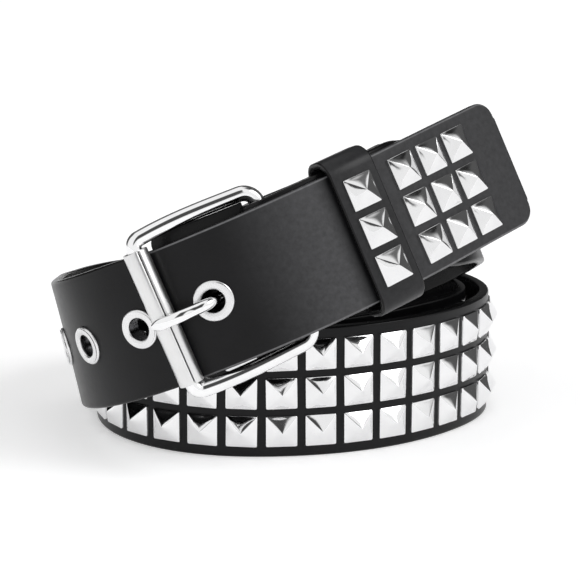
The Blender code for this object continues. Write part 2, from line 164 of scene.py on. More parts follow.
halfWidth = belt["width"] / 2
halfThickness = belt["thickness"] / 2
plainLayer = belt["thickness"] + belt["clearance"]
studdedLayer = belt["thickness"] + stud["room"] + belt["turnGap"]
seat = halfThickness + belt["clearance"]
wireRadius = buckle["wire"] / 2
foldRadius = wireRadius + belt["clearance"] + halfThickness
rollerRadius = buckle["rollerDiameter"] / 2
frameLift = buckle["play"] - belt["clearance"]  # the strap rests on the frame's lower bar


def unit(vectors):
    return vectors / np.linalg.norm(vectors, axis=-1, keepdims=True)


# natural cubic through the rows of values
def spline(knots, values, at):
    gaps = np.diff(knots)[:, None]
    slopes = np.diff(values, axis=0) / gaps
    count = len(knots)
    matrix = np.eye(count)
    bends = np.zeros_like(values)
    for i in range(1, count - 1):
        matrix[i, i - 1] = gaps[i - 1, 0]
        matrix[i, i] = 2 * (gaps[i - 1, 0] + gaps[i, 0])
        matrix[i, i + 1] = gaps[i, 0]
        bends[i] = 6 * (slopes[i] - slopes[i - 1])
    bends = np.linalg.solve(matrix, bends)
    i = np.clip(np.searchsorted(knots, at) - 1, 0, count - 2)
    gap = gaps[i]
    after = (at - knots[i])[:, None] / gap
    before = 1 - after
    curve = (before**3 - before) * bends[i] + (after**3 - after) * bends[i + 1]
    return before * values[i] + after * values[i + 1] + curve * gap**2 / 6


def layRoute():
    tuckedRows = [(row[0] - 3 * 360, *row[1:3], -1, *row[4:]) for row in route["front"]]
    rows = tuckedRows + route["under"] + route["coil"] + route["front"] + route["tip"]
    rows = np.array(rows, dtype=float)
    turn = np.arange(rows[0, 0], rows[-1, 0], route["turnStep"])
    reach, layers, tucked, tilt, lean = spline(rows[:, 0], rows[:, 1:], turn).T
    tilt = np.clip(tilt, 0, 1)
    lean = np.clip(lean, 0, 1)
    angle = np.radians(turn)
    points = np.column_stack([np.cos(angle), np.sin(angle), np.zeros_like(angle)])
    points *= (route["coilRadius"] * reach)[:, None]
    upright = np.array([0.0, 0.0, 1.0])
    aside = np.cross(unit(np.gradient(points, axis=0)), upright)
    points += aside * (layers * studdedLayer + tucked * plainLayer)[:, None]
    sideSlope = math.tan(math.radians(route["sideTilt"]))
    frontSlope = math.tan(math.radians(route["frontTilt"]))
    rise = sideSlope * (points[:, 0] + route["tiltFoot"]) - frontSlope * points[:, 1]
    points[:, 2] = halfWidth + tilt * rise
    along = unit(np.gradient(points, axis=0))
    tilted = unit(np.array([-sideSlope, frontSlope, 1.0]))
    across = upright + (tilted - upright) * lean[:, None]
    across = unit(across - (across * along).sum(axis=1, keepdims=True) * along)
    return points + np.array(route["middle"]), along, across, np.cross(along, across)


routeTables = layRoute()
routeSteps = np.linalg.norm(np.diff(routeTables[0], axis=0), axis=1)
routeLengths = np.concatenate([[0], np.cumsum(routeSteps)])


def routeAt(length):
    found = [
        np.array([np.interp(length, routeLengths, table[:, axis]) for axis in range(3)])
        for table in routeTables
    ]
    return found[0], unit(found[1]), unit(found[2]), unit(found[3])


def onRoute(length, across, outward):
    middle, _, widthWay, faceWay = routeAt(length)
    return middle + across * widthWay + outward * faceWay


tipEnd = routeLengths[-1]
holeAt = tipEnd - buckle["holeToTip"]
hingeAt = holeAt + buckle["holeToHinge"]
rollerAt = holeAt - buckle["holeToRoller"]
keeperAt = holeAt + keeper["holeToKeeper"]
overHinge = onRoute(hingeAt, 0, -plainLayer)
earlyPoints = routeTables[0][: len(routeLengths) // 8]
underStart = routeLengths[np.argmin(np.linalg.norm(earlyPoints - overHinge, axis=1))]
hingeAxis = onRoute(underStart, 0, -foldRadius)
rollerAxis = onRoute(rollerAt, 0, seat + rollerRadius)
foldBend = math.pi * foldRadius
eyeletPlaces = [holeAt - i * eyelet["pitch"] for i in range(eyelet["count"])]
print("route laid,", round(float(tipEnd), 4), "m")


class Number:
    # a shader socket that plain sums can be written on
    def __init__(self, tree, socket):
        self.tree = tree
        self.socket = socket

    def calculate(self, operation, first, second):
        node = self.tree.nodes.new("ShaderNodeMath")
        node.operation = operation
        for entry, item in zip(node.inputs, (first, second)):
            if isinstance(item, Number):
                self.tree.links.new(item.socket, entry)
            else:
                entry.default_value = item
        return Number(self.tree, node.outputs[0])

    def __add__(self, other):
        return self.calculate("ADD", self, other)

    def __sub__(self, other):
        return self.calculate("SUBTRACT", self, other)

    def __rsub__(self, other):
        return self.calculate("SUBTRACT", other, self)

    def __mul__(self, other):
        return self.calculate("MULTIPLY", self, other)

    __radd__ = __add__
    __rmul__ = __mul__


class NodeTable:
    # a node tree that is filled one node at a time
    def __init__(self, tree):
        self.tree = tree

    def add(self, kind, settings=None, sockets=None):
        node = self.tree.nodes.new("ShaderNode" + kind)
        for name, value in (settings or {}).items():
            if name == "stops":
                while len(node.color_ramp.elements) < len(value):
                    node.color_ramp.elements.new(0.5)
                for element, (place, shade) in zip(node.color_ramp.elements, value):
                    element.position = place
                    element.color = (shade, shade, shade, 1)
            else:
                setattr(node, name, value)
        for name, value in (sockets or {}).items():
            if isinstance(value, Number):
                self.tree.links.new(value.socket, node.inputs[name])
            else:
                node.inputs[name].default_value = value
        return node

    def number(self, kind, settings=None, sockets=None, output=0):
        return Number(self.tree, self.add(kind, settings, sockets).outputs[output])

    def mixColours(self, share, first, second):
        first, second = (
            item if isinstance(item, Number) else (*item, 1) for item in (first, second)
        )
        return self.number("Mix", {"data_type": "RGBA"}, {0: share, 6: first, 7: second}, 2)


# a finish is a material whose shader the caller feeds
def newFinish(name, uniform):
    material = bpy.data.materials.new(name)
    material.use_nodes = True
    shader = material.node_tree.nodes["Principled BSDF"]
    for socketName, value in uniform.items():
        shader.inputs[socketName].default_value = value
    return material, NodeTable(material.node_tree), shader


def feed(table, shader, socketName, value):
    table.tree.links.new(value.socket, shader.inputs[socketName])


# Leather: fine pores and creases, edges that are painted and a little polished
leather = {
    "dark": (0.0026, 0.0026, 0.0031),
    "light": (0.0062, 0.0062, 0.0072),
    "edge": (0.0045, 0.0045, 0.0048),
    # a lighter grey that paints the leather's sheen and highlights, and some wear toward the tip
    "worn": (0.190, 0.190, 0.197),
    "poreScale": 1500,
    "creaseScale": 620,
    "roughness": 0.33,
    "roughnessSpread": 0.12,
    "gloss": 0.19,
    "bumpDepth": 0.00006,
    "bumpStrength": 0.30,
    "cloudScale": 60,
    "edgePolish": 0.08,
    "edgeSmoothing": 0.75,
}


def makeLeather(name):
    material, table, shader = newFinish(name, {"Specular IOR Level": leather["gloss"]})
    place = table.number("TexCoord", output=3)
    edge = table.number("Attribute", {"attribute_name": "edge"}, output=2)
    worn = table.number("Attribute", {"attribute_name": "worn"}, output=2)
    pores = table.number(
        "TexVoronoi", {"feature": "F1"}, {"Vector": place, "Scale": leather["poreScale"]}
    )
    creases = table.number(
        "TexNoise",
        {},
        {"Vector": place, "Scale": leather["creaseScale"], "Detail": 5, "Roughness": 0.6},
    )
    clouds = table.number(
        "TexNoise", {}, {"Vector": place, "Scale": leather["cloudScale"], "Detail": 2}
    )
    share = table.number("Clamp", {}, {"Value": clouds * 1.4 - 0.3 + (creases - 0.5) * 0.6})
    face = table.mixColours(share, leather["dark"], leather["light"])
    painted = table.mixColours(edge, face, leather["edge"])
    # the lighter grey mixed in here is painted sheen and painted highlight, with some wear toward
    # the tip, mottled by the creases
    mottledSheenAndWear = worn * (creases * 0.9 + 0.45)
    feed(table, shader, "Base Color", table.mixColours(mottledSheenAndWear, painted, leather["worn"]))
    spread = leather["roughnessSpread"]
    rough = leather["roughness"] + (creases - 0.5) * spread + (clouds - 0.5) * spread
    feed(table, shader, "Roughness", rough - edge * leather["edgePolish"])
    height = (pores * 0.6 + creases * 0.5) * (1 - edge * leather["edgeSmoothing"])
    bumpSockets = {
        "Height": height,
        "Distance": leather["bumpDepth"],
        "Strength": leather["bumpStrength"],
    }
    feed(table, shader, "Normal", table.number("Bump", {}, bumpSockets))
    return material


# Metal: a nearly even sheen with faint brushing and pressing marks
metal = {
    "cloudScale": 180,
    "brushScale": (2600, 2600, 160),
    "brushTurn": (0, 0.4, 0),
    "darker": 0.88,
    "bumpDepth": 0.0001,
}


def makeMetal(name, colour, roughness, spread, brushed, dents, bore=None):
    material, table, shader = newFinish(name, {"Metallic": 1.0, "Base Color": (*colour, 1)})
    place = table.number("TexCoord", output=3)
    clouds = table.number(
        "TexNoise", {}, {"Vector": place, "Scale": metal["cloudScale"], "Detail": 3}
    )
    lines = {"Vector": place, "Scale": metal["brushScale"], "Rotation": metal["brushTurn"]}
    stretched = table.number("Mapping", {}, lines)
    brushing = table.number("TexNoise", {}, {"Vector": stretched, "Scale": 1, "Detail": 2})
    darker = tuple(channel * metal["darker"] for channel in colour)
    share = table.number("Clamp", {}, {"Value": clouds * 1.2 - 0.2})
    tone = table.mixColours(share, darker, colour)
    # a given bore colour is painted shade inside the eyelet's barrel
    if bore:
        inside = table.number("Attribute", {"attribute_name": "edge"}, output=2)
        tone = table.mixColours(inside, tone, bore)
    feed(table, shader, "Base Color", tone)
    rough = roughness + (clouds - 0.4) * spread + (brushing - 0.5) * spread
    feed(table, shader, "Roughness", rough)
    height = clouds * dents + brushing * brushed
    bumpSockets = {"Height": height, "Distance": metal["bumpDepth"], "Strength": 1.0}
    feed(table, shader, "Normal", table.number("Bump", {}, bumpSockets))
    return material


blackLeather = makeLeather("blackLeather")
polishedChrome = makeMetal("polishedChrome", (0.94, 0.94, 0.945), 0.06, 0.04, 0.01, 0.12)
studChrome = makeMetal("studChrome", (0.87, 0.87, 0.875), 0.08, 0.05, 0.01, 0.20)
satinChrome = makeMetal("satinChrome", (0.80, 0.80, 0.80), 0.30, 0.08, 0.10, 0.15)
# dark grey painted in the eyelets' bores as shade
boreShadeColour = (0.12, 0.12, 0.125)
eyeletNickel = makeMetal(
    "eyeletNickel", (0.82, 0.82, 0.825), 0.26, 0.06, 0.03, 0.20, bore=boreShadeColour
)
print("finishes made")


def newPiece(name, points, faces, finish, nodes, smoothAngle=35, edges=None):
    mesh = bpy.data.meshes.new(name)
    mesh.from_pydata([tuple(point) for point in points], [], faces)
    for share, values in (edges or {}).items():
        attribute = mesh.attributes.new(share, "FLOAT", "POINT")
        attribute.data.foreach_set("value", np.asarray(values, np.float32))
    bm = bmesh.new()
    bm.from_mesh(mesh)
    bmesh.ops.recalc_face_normals(bm, faces=bm.faces)
    bm.to_mesh(mesh)
    bm.free()
    mesh.shade_smooth()
    mesh.set_sharp_from_angle(angle=math.radians(smoothAngle))
    mesh.materials.append(finish)
    piece = bpy.data.objects.new(name, mesh)
    bpy.context.scene.collection.objects.link(piece)
    if nodes:
        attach(piece, "root")
        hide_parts(*nodes)
    return piece


# faces of rings that follow each other, closed into a loop or capped at both ends
def loftFaces(count, around, closedRun):
    faces = []
    for ring in range(count if closedRun else count - 1):
        nextRing = (ring + 1) % count
        for i in range(around):
            j = (i + 1) % around
            here, there = ring * around, nextRing * around
            faces.append((here + i, here + j, there + j, there + i))
    if not closedRun:
        faces.append(tuple(range(around)))
        faces.append(tuple((count - 1) * around + i for i in range(around)))
    return faces


def loftPiece(name, rings, finish, nodes, closedRun=False, smoothAngle=35, edges=None):
    rings = np.array(rings)
    faces = loftFaces(rings.shape[0], rings.shape[1], closedRun)
    points = rings.reshape(-1, 3)
    return newPiece(name, points, faces, finish, nodes, smoothAngle, edges)


# applies Booleans and takes their helpers away
def carve(piece, helpers, operation, smoothAngle=35):
    for helper in helpers:
        modifier = piece.modifiers.new(helper.name, "BOOLEAN")
        modifier.operation = operation
        modifier.solver = "EXACT"
        modifier.object = helper
    graph = bpy.context.evaluated_depsgraph_get()
    carved = bpy.data.meshes.new_from_object(piece.evaluated_get(graph))
    carved.name = piece.name
    piece.modifiers.clear()
    piece.data = carved
    carved.shade_smooth()
    carved.set_sharp_from_angle(angle=math.radians(smoothAngle))
    for helper in helpers:
        bpy.data.objects.remove(helper)


def circleWays(sides):
    angles = [2 * math.pi * i / sides for i in range(sides)]
    return [(math.cos(angle), math.sin(angle)) for angle in angles]


def evenSteps(start, end, step):
    count = max(1, round((end - start) / step))
    return [start + (end - start) * i / count for i in range(count)]


# Strap, one sweep from the fold's end round the coil to the tip
strap = {
    "faceRound": 0.0008,
    "backRound": 0.0005,
    "cornerSteps": 5,
    "step": 0.0016,
    "foldSteps": 22,
    "tipCorner": 0.0062,
    "tipSteps": 14,
    "endSteps": 5,
    "facePoints": 10,
    "foldPastKeeper": 0.012,
    "foldClosing": 0.014,
    "rivetShank": 0.003,
    "rivetHead": 0.0064,
    "rivetHeadThickness": 0.0008,
    "rivetRound": 0.0002,
    "rivetToFoldEnd": 0.0065,
    "rivetSpacing": 0.020,
    "slotPlay": 0.0004,
    "prongDiameter": 0.0031,
    "spread": 0.0010,
    "spreadFrom": 0.110,
    "underRise": 0.0012,
    "riseEnds": (0.044, 0.064),
    "dip": 0.0017,
    "dipEnds": (0.044, 0.064, 0.120, 0.180),
    "edgeBand": 0.0006,
    "endBand": 0.0008,
    # painted highlight along the face-side edges past the roller, with some edge wear
    "edgeHighlightAndWear": 0.75,
    # painted sheen on the face before the keeper and at the tip, and a painted shadow band at the
    # keeper's edge
    "tipSheenAndWear": 0.20,
    "sheenBeforeKeeper": 0.30,
    "keeperShadowBand": 0.0045,
    "sheenFull": 0.006,
    "sheenFade": 0.032,
    "prongRingWall": 0.0018,
    "drillSides": 40,
    "rivetDrillSides": 20,
}
foldLength = keeperAt + keeper["width"] / 2 + strap["foldPastKeeper"] - hingeAt
strapEnd = tipEnd - underStart


def easeBetween(value, start, end):
    share = min(max((value - start) / (end - start), 0), 1)
    return share * share * (3 - 2 * share)


# the under layer lies in the middle of the buckle, which sits higher than the layer on top,
# and past the keeper it drops behind the tip
def underRise(length):
    dipStart, dipFull, dipFades, dipEnd = strap["dipEnds"]
    rise = strap["underRise"] * (1 - easeBetween(length, *strap["riseEnds"]))
    dip = easeBetween(length, dipStart, dipFull) - easeBetween(length, dipFades, dipEnd)
    return rise - strap["dip"] * dip


# ways of the strap at a length past the hinge bar, negative in the fold
def strapFrame(length):
    middle, along, across, outward = foldedFrame(length)
    return middle + across * underRise(length), along, across, outward


def foldedFrame(length):
    if length >= 0:
        return routeAt(underStart + length)
    if length > -foldBend:
        _, along, across, outward = routeAt(underStart)
        angle = -length / foldRadius
        out = outward * math.cos(angle) - along * math.sin(angle)
        way = outward * math.sin(angle) + along * math.cos(angle)
        return hingeAxis + out * foldRadius, way, across, out
    back = -foldBend - length
    middle, along, across, outward = routeAt(underStart + back)
    ease = easeBetween(back, 0, strap["foldClosing"])
    depth = 2 * foldRadius + (plainLayer - 2 * foldRadius) * ease
    return middle - outward * depth, -along, across, -outward


# quarter round from start degrees, at a corner of the strap's section
def cornerPoints(side, level, corner, facing, start):
    points = []
    for step in range(strap["cornerSteps"] + 1):
        angle = math.radians(start - 90 * step / strap["cornerSteps"])
        across = side - math.copysign(corner, side) + corner * math.cos(angle)
        outward = level - facing * corner + corner * math.sin(angle)
        points.append((across, outward, 1.0))
    return points


# (across, outward, edge) points round the strap, pulled in by inset at its ends
def strapSection(span, inset):
    face, back = strap["faceRound"], strap["backRound"]
    high, low = halfThickness - inset, -halfThickness + inset * 0.7
    inner, count, band = span - face, strap["facePoints"], strap["edgeBand"]
    section = [(-inner + 2 * inner * i / count, high, 0.0) for i in range(count + 1)]
    section[0] = (-inner, high, 0.35)
    section[-1] = (inner, high, 0.35)
    section.insert(1, (-inner + band, high, 0.0))
    section.insert(-1, (inner - band, high, 0.0))
    section += cornerPoints(span, high, face, 1, 90)[1:]
    section += cornerPoints(span, low, back, -1, 0)
    section += [(span - back - 2 * (span - back) * i / 4, low, 0.0) for i in range(1, 4)]
    section += cornerPoints(-span, low, back, -1, 270)
    section += cornerPoints(-span, high, face, 1, 180)[:-1]
    return section


def strapStations():
    foldEnd = -foldBend - foldLength
    back, face, corner = strap["backRound"], strap["faceRound"], strap["tipCorner"]
    stations = []
    for step in range(strap["endSteps"]):
        angle = math.pi / 2 * step / strap["endSteps"]
        inset = back * (1 - math.sin(angle))
        stations.append((foldEnd + back * (1 - math.cos(angle)), halfWidth, inset))
    lengths = evenSteps(foldEnd + back, -foldBend, strap["step"])
    lengths += evenSteps(-foldBend, 0, foldBend / strap["foldSteps"])
    cornerStart = strapEnd - corner
    lengths += evenSteps(0, cornerStart, strap["step"])
    stations += [(length, halfWidth, 0) for length in lengths]
    for step in range(strap["tipSteps"] + 1):
        angle = math.pi / 2 * step / strap["tipSteps"]
        length = cornerStart + corner * math.sin(angle) - face * math.sin(angle) ** 8
        stations.append((length, halfWidth - corner * (1 - math.cos(angle)), 0))
    endSpan = stations[-1][1]
    for step in range(1, strap["endSteps"] + 1):
        angle = math.pi / 2 * step / strap["endSteps"]
        length = strapEnd - face * (1 - math.sin(angle))
        inset = face * 0.8 * (1 - math.cos(angle))
        stations.append((length, endSpan + 0.0002 * math.sin(angle), inset))
    return stations


# painted sheen on the strap's face from before the keeper to the tip: a lighter grey that rises
# toward the keeper, a painted shadow band at the keeper's edge, and past the keeper's middle a
# lighter grey of painted sheen and wear
def faceSheenAndShadow(length):
    toKeeper = keeperAt - underStart - keeper["width"] / 2 - length
    if toKeeper < 0:
        return strap["tipSheenAndWear"] if toKeeper < -keeper["width"] / 2 else 0.0
    share = min(max(1 - (toKeeper - strap["sheenFull"]) / strap["sheenFade"], 0), 1)
    shadow = min(toKeeper / strap["keeperShadowBand"], 1)
    return strap["sheenBeforeKeeper"] * share * share * (3 - 2 * share) * shadow


rings, edges, worn = [], [], []
stations = strapStations()
for length, span, inset in stations:
    middle, _, across, outward = strapFrame(length)
    section = strapSection(span, inset)
    fromRoller = (rollerAt - underStart - length) / strap["spreadFrom"]
    lift = strap["spread"] * math.sin(math.pi * min(max(fromRoller, 0), 1) ** 0.6)
    rings.append(
        [middle + across * (v + lift * max(v, 0) / span) + outward * n for v, n, _ in section]
    )
    ends = min(length - stations[0][0], stations[-1][0] - length)
    edges += [max(edge, 1.0 if ends < strap["endBand"] else 0.0) for _, _, edge in section]
    # past the roller the face-side edge points get a painted highlight with some wear, and the
    # face gets the painted sheen and shadow band
    line = halfThickness - inset - strap["faceRound"] * 0.30
    pastRoller = length > rollerAt - underStart
    face = faceSheenAndShadow(length)
    worn += [
        strap["edgeHighlightAndWear"] * pastRoller if n > line and edge > 0.9 else face if n > 0 else 0.0
        for _, n, edge in section
    ]
strapShares = {"edge": edges, "worn": worn}
strapPiece = loftPiece(
    "strapLeather", rings, blackLeather, ["strap"], edges=strapShares
)


def roundSection(length, across, radius, outward, sides):
    return [
        onRoute(length + radius * way[0], across + radius * way[1], outward)
        for way in circleWays(sides)
    ]


barrelRadius = eyelet["hole"] / 2 + eyelet["wall"]
rivetAt = underStart + foldLength - strap["rivetToFoldEnd"]
rivetSides = (-strap["rivetSpacing"] / 2, strap["rivetSpacing"] / 2)
helpers = []
drillRadius = barrelRadius + belt["clearance"] / 2
drillDepth = seat + belt["clearance"] / 2
for number, place in enumerate(eyeletPlaces):
    drill = [
        roundSection(place, 0, drillRadius, side * drillDepth, strap["drillSides"])
        for side in (-1, 1)
    ]
    helpers.append(loftPiece(f"drill{number}", drill, blackLeather, []))
drillRadius = strap["rivetShank"] / 2 + belt["clearance"]
drillEnds = (-plainLayer - belt["thickness"], halfThickness + belt["clearance"] / 2)
for number, across in enumerate(rivetSides):
    lifted = across + strap["underRise"]
    drill = [
        roundSection(rivetAt, lifted, drillRadius, outward, strap["rivetDrillSides"])
        for outward in drillEnds
    ]
    helpers.append(loftPiece(f"rivetDrill{number}", drill, blackLeather, []))

prongRadius = strap["prongDiameter"] / 2
prongRingWall = strap["prongRingWall"]
prongRingRadius = wireRadius + belt["clearance"] + prongRingWall
foldOutside = foldRadius + halfThickness
slotHalf = prongRadius + strap["slotPlay"]
slotTop = -halfThickness - belt["clearance"] / 2
slotBottom = -plainLayer - foldRadius - foldOutside - belt["clearance"]
slotEnds = (hingeAt - 2 * foldOutside, hingeAt + 1.6 * prongRingRadius)
slotRings = []
for length in np.linspace(*slotEnds, 12):
    ends = min(length - slotEnds[0], slotEnds[1] - length)
    half = slotHalf * (1 if ends > 0.0005 else 0.72)
    slotRings.append(
        [
            onRoute(length, -half, slotBottom),
            onRoute(length, half, slotBottom),
            onRoute(length, half, slotTop),
            onRoute(length, -half, slotTop),
        ]
    )
helpers.append(loftPiece("prongSlot", slotRings, blackLeather, []))
carve(strapPiece, helpers, "DIFFERENCE", 40)
print("strap made,", len(strapPiece.data.polygons), "faces")

# Guard, a tongue of thin leather from the fold to the roller, under the prong. It is a guess
# that fills the dark place between the frame's upper bar and the strap.
guard = {
    "level": -0.0073,
    "thickness": 0.0013,
    "halfAtRoller": 0.0222,
    "halfAtFold": 0.0213,
    "rollerGap": 0.0010,
    "foldGap": 0.0006,
    "corner": 0.003,
    "edgeRound": 0.0004,
    "sections": 41,
    "edgeSteps": 4,
    "edgeShade": 0.6,
}


def guardRings():
    start, end = rollerAt - guard["rollerGap"], hingeAt - foldRadius - guard["foldGap"]
    corner, thick, small = guard["corner"], guard["thickness"] / 2, guard["edgeRound"]
    narrowing = guard["halfAtFold"] - guard["halfAtRoller"]
    rings = []
    for i in range(guard["sections"]):
        share = i / (guard["sections"] - 1)
        length = start + (end - start) * (1 - math.cos(share * math.pi / 2))
        half = guard["halfAtRoller"] + narrowing * (length - start) / (end - start)
        into = max(0, 1 - (length - start) / corner)
        half -= corner * (1 - math.sqrt(1 - into * into)) * 0.999
        ring = []
        for side, face, first in ((1, 1, 90), (1, -1, 0), (-1, -1, 270), (-1, 1, 180)):
            for step in range(guard["edgeSteps"] + 1):
                angle = math.radians(first - 90 * step / guard["edgeSteps"])
                v = side * (half - small) + small * math.cos(angle)
                n = face * (thick - small) + small * math.sin(angle)
                ring.append(onRoute(length, v + frameLift, guard["level"] + n))
        rings.append(ring)
    return rings


rings = guardRings()
guardShares = {"edge": [guard["edgeShade"]] * (len(rings) * len(rings[0]))}
loftPiece("prongGuard", rings, blackLeather, ["strap"], edges=guardShares)
print("guard made")

# Studs, a pressed cap with crisp ridges and facets that swell a little. The levels run from
# the skirt, 0, to the point, 1.
studLevels = (0.0, 0.10, 0.24, 0.40, 0.56, 0.72, 0.86, 0.95, 0.985)


def studTemplate():
    half, skirt, rim = stud["size"] / 2, stud["skirt"], stud["rimRound"]
    shoulder = half - rim
    rows = [
        (half, -stud["sunk"], None),
        (half, skirt - rim, None),
        (half - rim * 0.3, skirt - rim * 0.3, None),
    ]
    rise = stud["height"] - skirt
    rows += [(shoulder * (1 - t), skirt + rise * t, t) for t in studLevels]
    points = []
    for size, height, t in rows:
        corner = min(stud["ridge"] * (2.2 if t is None else 1), size * 0.45)
        straight = size - corner
        for quarter in range(4):
            turn = quarter * math.pi / 2
            local = [(size, straight * share) for share in (-1, -0.5, 0.0, 0.5)]
            for angle in (0, 30, 60):
                radians = math.radians(angle)
                local.append(
                    (straight + corner * math.cos(radians), straight + corner * math.sin(radians))
                )
            for x, y in local:
                swell = 0
                if t is not None and size > 0:
                    share = min(abs(y) / size, 1) if abs(x) >= abs(y) else min(abs(x) / size, 1)
                    swell = stud["bulge"] * (1 - share * share) * math.sin(math.pi * t**0.6)
                cosine, sine = math.cos(turn), math.sin(turn)
                points.append((x * cosine - y * sine, x * sine + y * cosine, height + swell))
    around = len(points) // len(rows)
    return np.array(points), loftFaces(len(rows), around, False)


studPoints, studFaces = studTemplate()
chance = np.random.default_rng(12)


# one piece of many studs, each at (length, across, base) on the route
def studField(name, places, finish, nodes):
    points, faces = [], []
    half = stud["size"] / 2
    for length, across, base in places:
        middle, _, widthWay, faceWay = routeAt(length)
        startPoint = onRoute(length - half, across, base)
        endPoint = onRoute(length + half, across, base)
        centre = (startPoint + endPoint) / 2
        alongWay = unit(endPoint - startPoint)
        faceWay = unit(np.cross(alongWay, widthWay))
        widthWay = np.cross(faceWay, alongWay)
        # each stud is pressed in by hand, so none sits quite like the next
        spin, lean, dip = chance.uniform(-1, 1, 3) * (stud["spin"], stud["tilt"], stud["tilt"])
        faceWay = unit(faceWay + alongWay * lean + widthWay * dip)
        alongWay = unit(np.cross(widthWay - alongWay * spin, faceWay))
        widthWay = np.cross(faceWay, alongWay)
        tall = 1 + chance.uniform(-1, 1) * stud["uneven"]
        offset = len(points) * len(studPoints)
        points.append(
            centre
            + studPoints[:, :1] * alongWay
            + studPoints[:, 1:2] * widthWay
            + studPoints[:, 2:] * faceWay * tall
        )
        faces += [tuple(corner + offset for corner in face) for face in studFaces]
    points = np.concatenate(points)
    return newPiece(name, points, faces, finish, nodes, 24)


rowPlaces = [(row - 1) * stud["pitch"] for row in range(3)]
field = {
    "keeperToField": 0.018,
    "eyeletToField": 0.013,
    "tipColumns": 3,
    "tipMargin": 0.0149,
    "holeDepth": 0.030,
    "holeReach": 0.0075,
}
fieldStart = keeperAt - hingeAt + keeper["width"] / 2 + field["keeperToField"]
fieldRoom = eyeletPlaces[-1] - underStart - field["eyeletToField"] - fieldStart
fieldColumns = int((fieldRoom - stud["size"]) / stud["pitch"]) + 1
fieldPlaces = [
    (underStart + fieldStart + column * stud["pitch"] + stud["size"] / 2, across, halfThickness)
    for column in range(fieldColumns)
    for across in rowPlaces
]


# A stud near the camera's line through an eyelet. It takes out two: one on an inner turn, which
# would show through the third eyelet, and by a fault the middle stud of the last column, on the
# outer turn, because the fifth eyelet is tested too though it faces away from the camera.
def behindHole(place):
    centre = onRoute(*place)
    for at in eyeletPlaces[1:]:
        eye = onRoute(at, 0, 0)
        ray = unit(eye - np.array(cameraPlace))
        past = (centre - eye) @ ray
        aside = np.linalg.norm(centre - eye - ray * past)
        if 0 < past < field["holeDepth"] and aside < field["holeReach"]:
            return True
    return False


fieldPlaces = [place for place in fieldPlaces if not behindHole(place)]
studField("fieldStuds", fieldPlaces, studChrome, ["strap"])
print("field of studs made,", len(fieldPlaces), "studs")

lastColumnAt = tipEnd - field["tipMargin"] - stud["size"] / 2
for column in range(field["tipColumns"]):
    length = lastColumnAt - (field["tipColumns"] - 1 - column) * stud["pitch"]
    for row, across in enumerate(rowPlaces, start=1):
        place = [(length, across, halfThickness)]
        node = f"tip_stud_{column + 1}{row}"
        studField(f"tipStud{column + 1}{row}", place, studChrome, [node])
for row, across in enumerate(rowPlaces, start=1):
    place = [(keeperAt, across, seat + keeper["thickness"])]
    studField(f"keeperStud{row}", place, studChrome, [f"keeper_stud_{row}"])
print("tip and keeper studs made")


# Eyelets: a rolled flange, a barrel and a flat back washer
def eyeletProfile():
    hole, flange, rim = eyelet["hole"] / 2, eyelet["flange"] / 2, eyelet["rim"]
    back, backReach = -seat - eyelet["backThickness"], eyelet["back"] / 2
    roll, dish, small = eyelet["rimRoll"], eyelet["dish"], eyelet["backRound"]
    profile = [(flange - 0.0001, halfThickness)]
    for angle in (0, 30, 60, 90):
        radians = math.radians(angle)
        tall = seat + rim * 0.55 * math.sin(radians)
        profile.append((flange - roll * (1 - math.cos(radians)), tall))
    middle = (hole + flange) / 2
    profile += [(middle + dish, seat + rim * 0.80), (middle, seat + rim * 0.88)]
    profile += [(hole + 0.0009, seat + rim * 0.80)]
    for angle in (65, 40, 20, 0):
        radians = math.radians(angle)
        tall = seat + rim * 0.75 * math.sin(radians)
        profile.append((hole + dish * (1 - math.cos(radians)), tall))
    profile += [(hole, 0), (hole, back + eyelet["boreRound"]), (hole + eyelet["boreRound"], back)]
    profile += [(backReach - small, back), (backReach, back + small), (backReach, -seat)]
    return profile + [(barrelRadius, -seat), (barrelRadius, halfThickness)]


for number, place in enumerate(eyeletPlaces, start=1):
    profile = eyeletProfile()
    rings = [
        [onRoute(place + r * way[0], r * way[1], n) for r, n in profile]
        for way in circleWays(eyelet["sides"])
    ]
    # the bore's points carry the edge attribute, which the eyelet finish paints dark as shade
    # inside the barrel
    paintedBoreShade = [1.0 if r < eyelet["hole"] / 2 + 0.0001 else 0.0 for r, _ in profile] * len(rings)
    nodes = [f"eyelet_{number}"]
    loftPiece(
        f"eyelet{number}", rings, eyeletNickel, nodes, True, 40, {"edge": paintedBoreShade}
    )
print("eyelets made")

# Rivets of the fold, domed on the inside of the belt
for number, across in enumerate(rivetSides, start=1):
    shank, head = strap["rivetShank"] / 2, strap["rivetHead"] / 2
    back, tall, small = -plainLayer - seat, strap["rivetHeadThickness"], strap["rivetRound"]
    profile = [(shank * 0.7, halfThickness), (shank, halfThickness - small), (shank, back)]
    profile += [(head - small, back), (head, back - small)]
    profile += [(head * 0.86, back - tall * 0.62), (head * 0.55, back - tall * 0.9)]
    profile += [(head * 0.2, back - tall)]
    across += strap["underRise"]
    rings = [roundSection(rivetAt, across, r, n, 32) for r, n in profile]
    nodes = [f"fold_rivet_{number}"]
    loftPiece(f"foldRivet{number}", rings, satinChrome, nodes, False, 40)
print("rivets made")


# Keeper, a strip of leather bent round the layers
def roundedOutline(low, high, corner, steps=9):
    outline = []
    for v, n, start in (
        (high[0] - corner, high[1] - corner, 0),
        (low[0] + corner, high[1] - corner, 90),
        (low[0] + corner, low[1] + corner, 180),
        (high[0] - corner, low[1] + corner, 270),
    ):
        for step in range(steps + 1):
            angle = math.radians(start + 90 * step / steps)
            outline.append((v + corner * math.cos(angle), n + corner * math.sin(angle)))
    return np.array(outline)


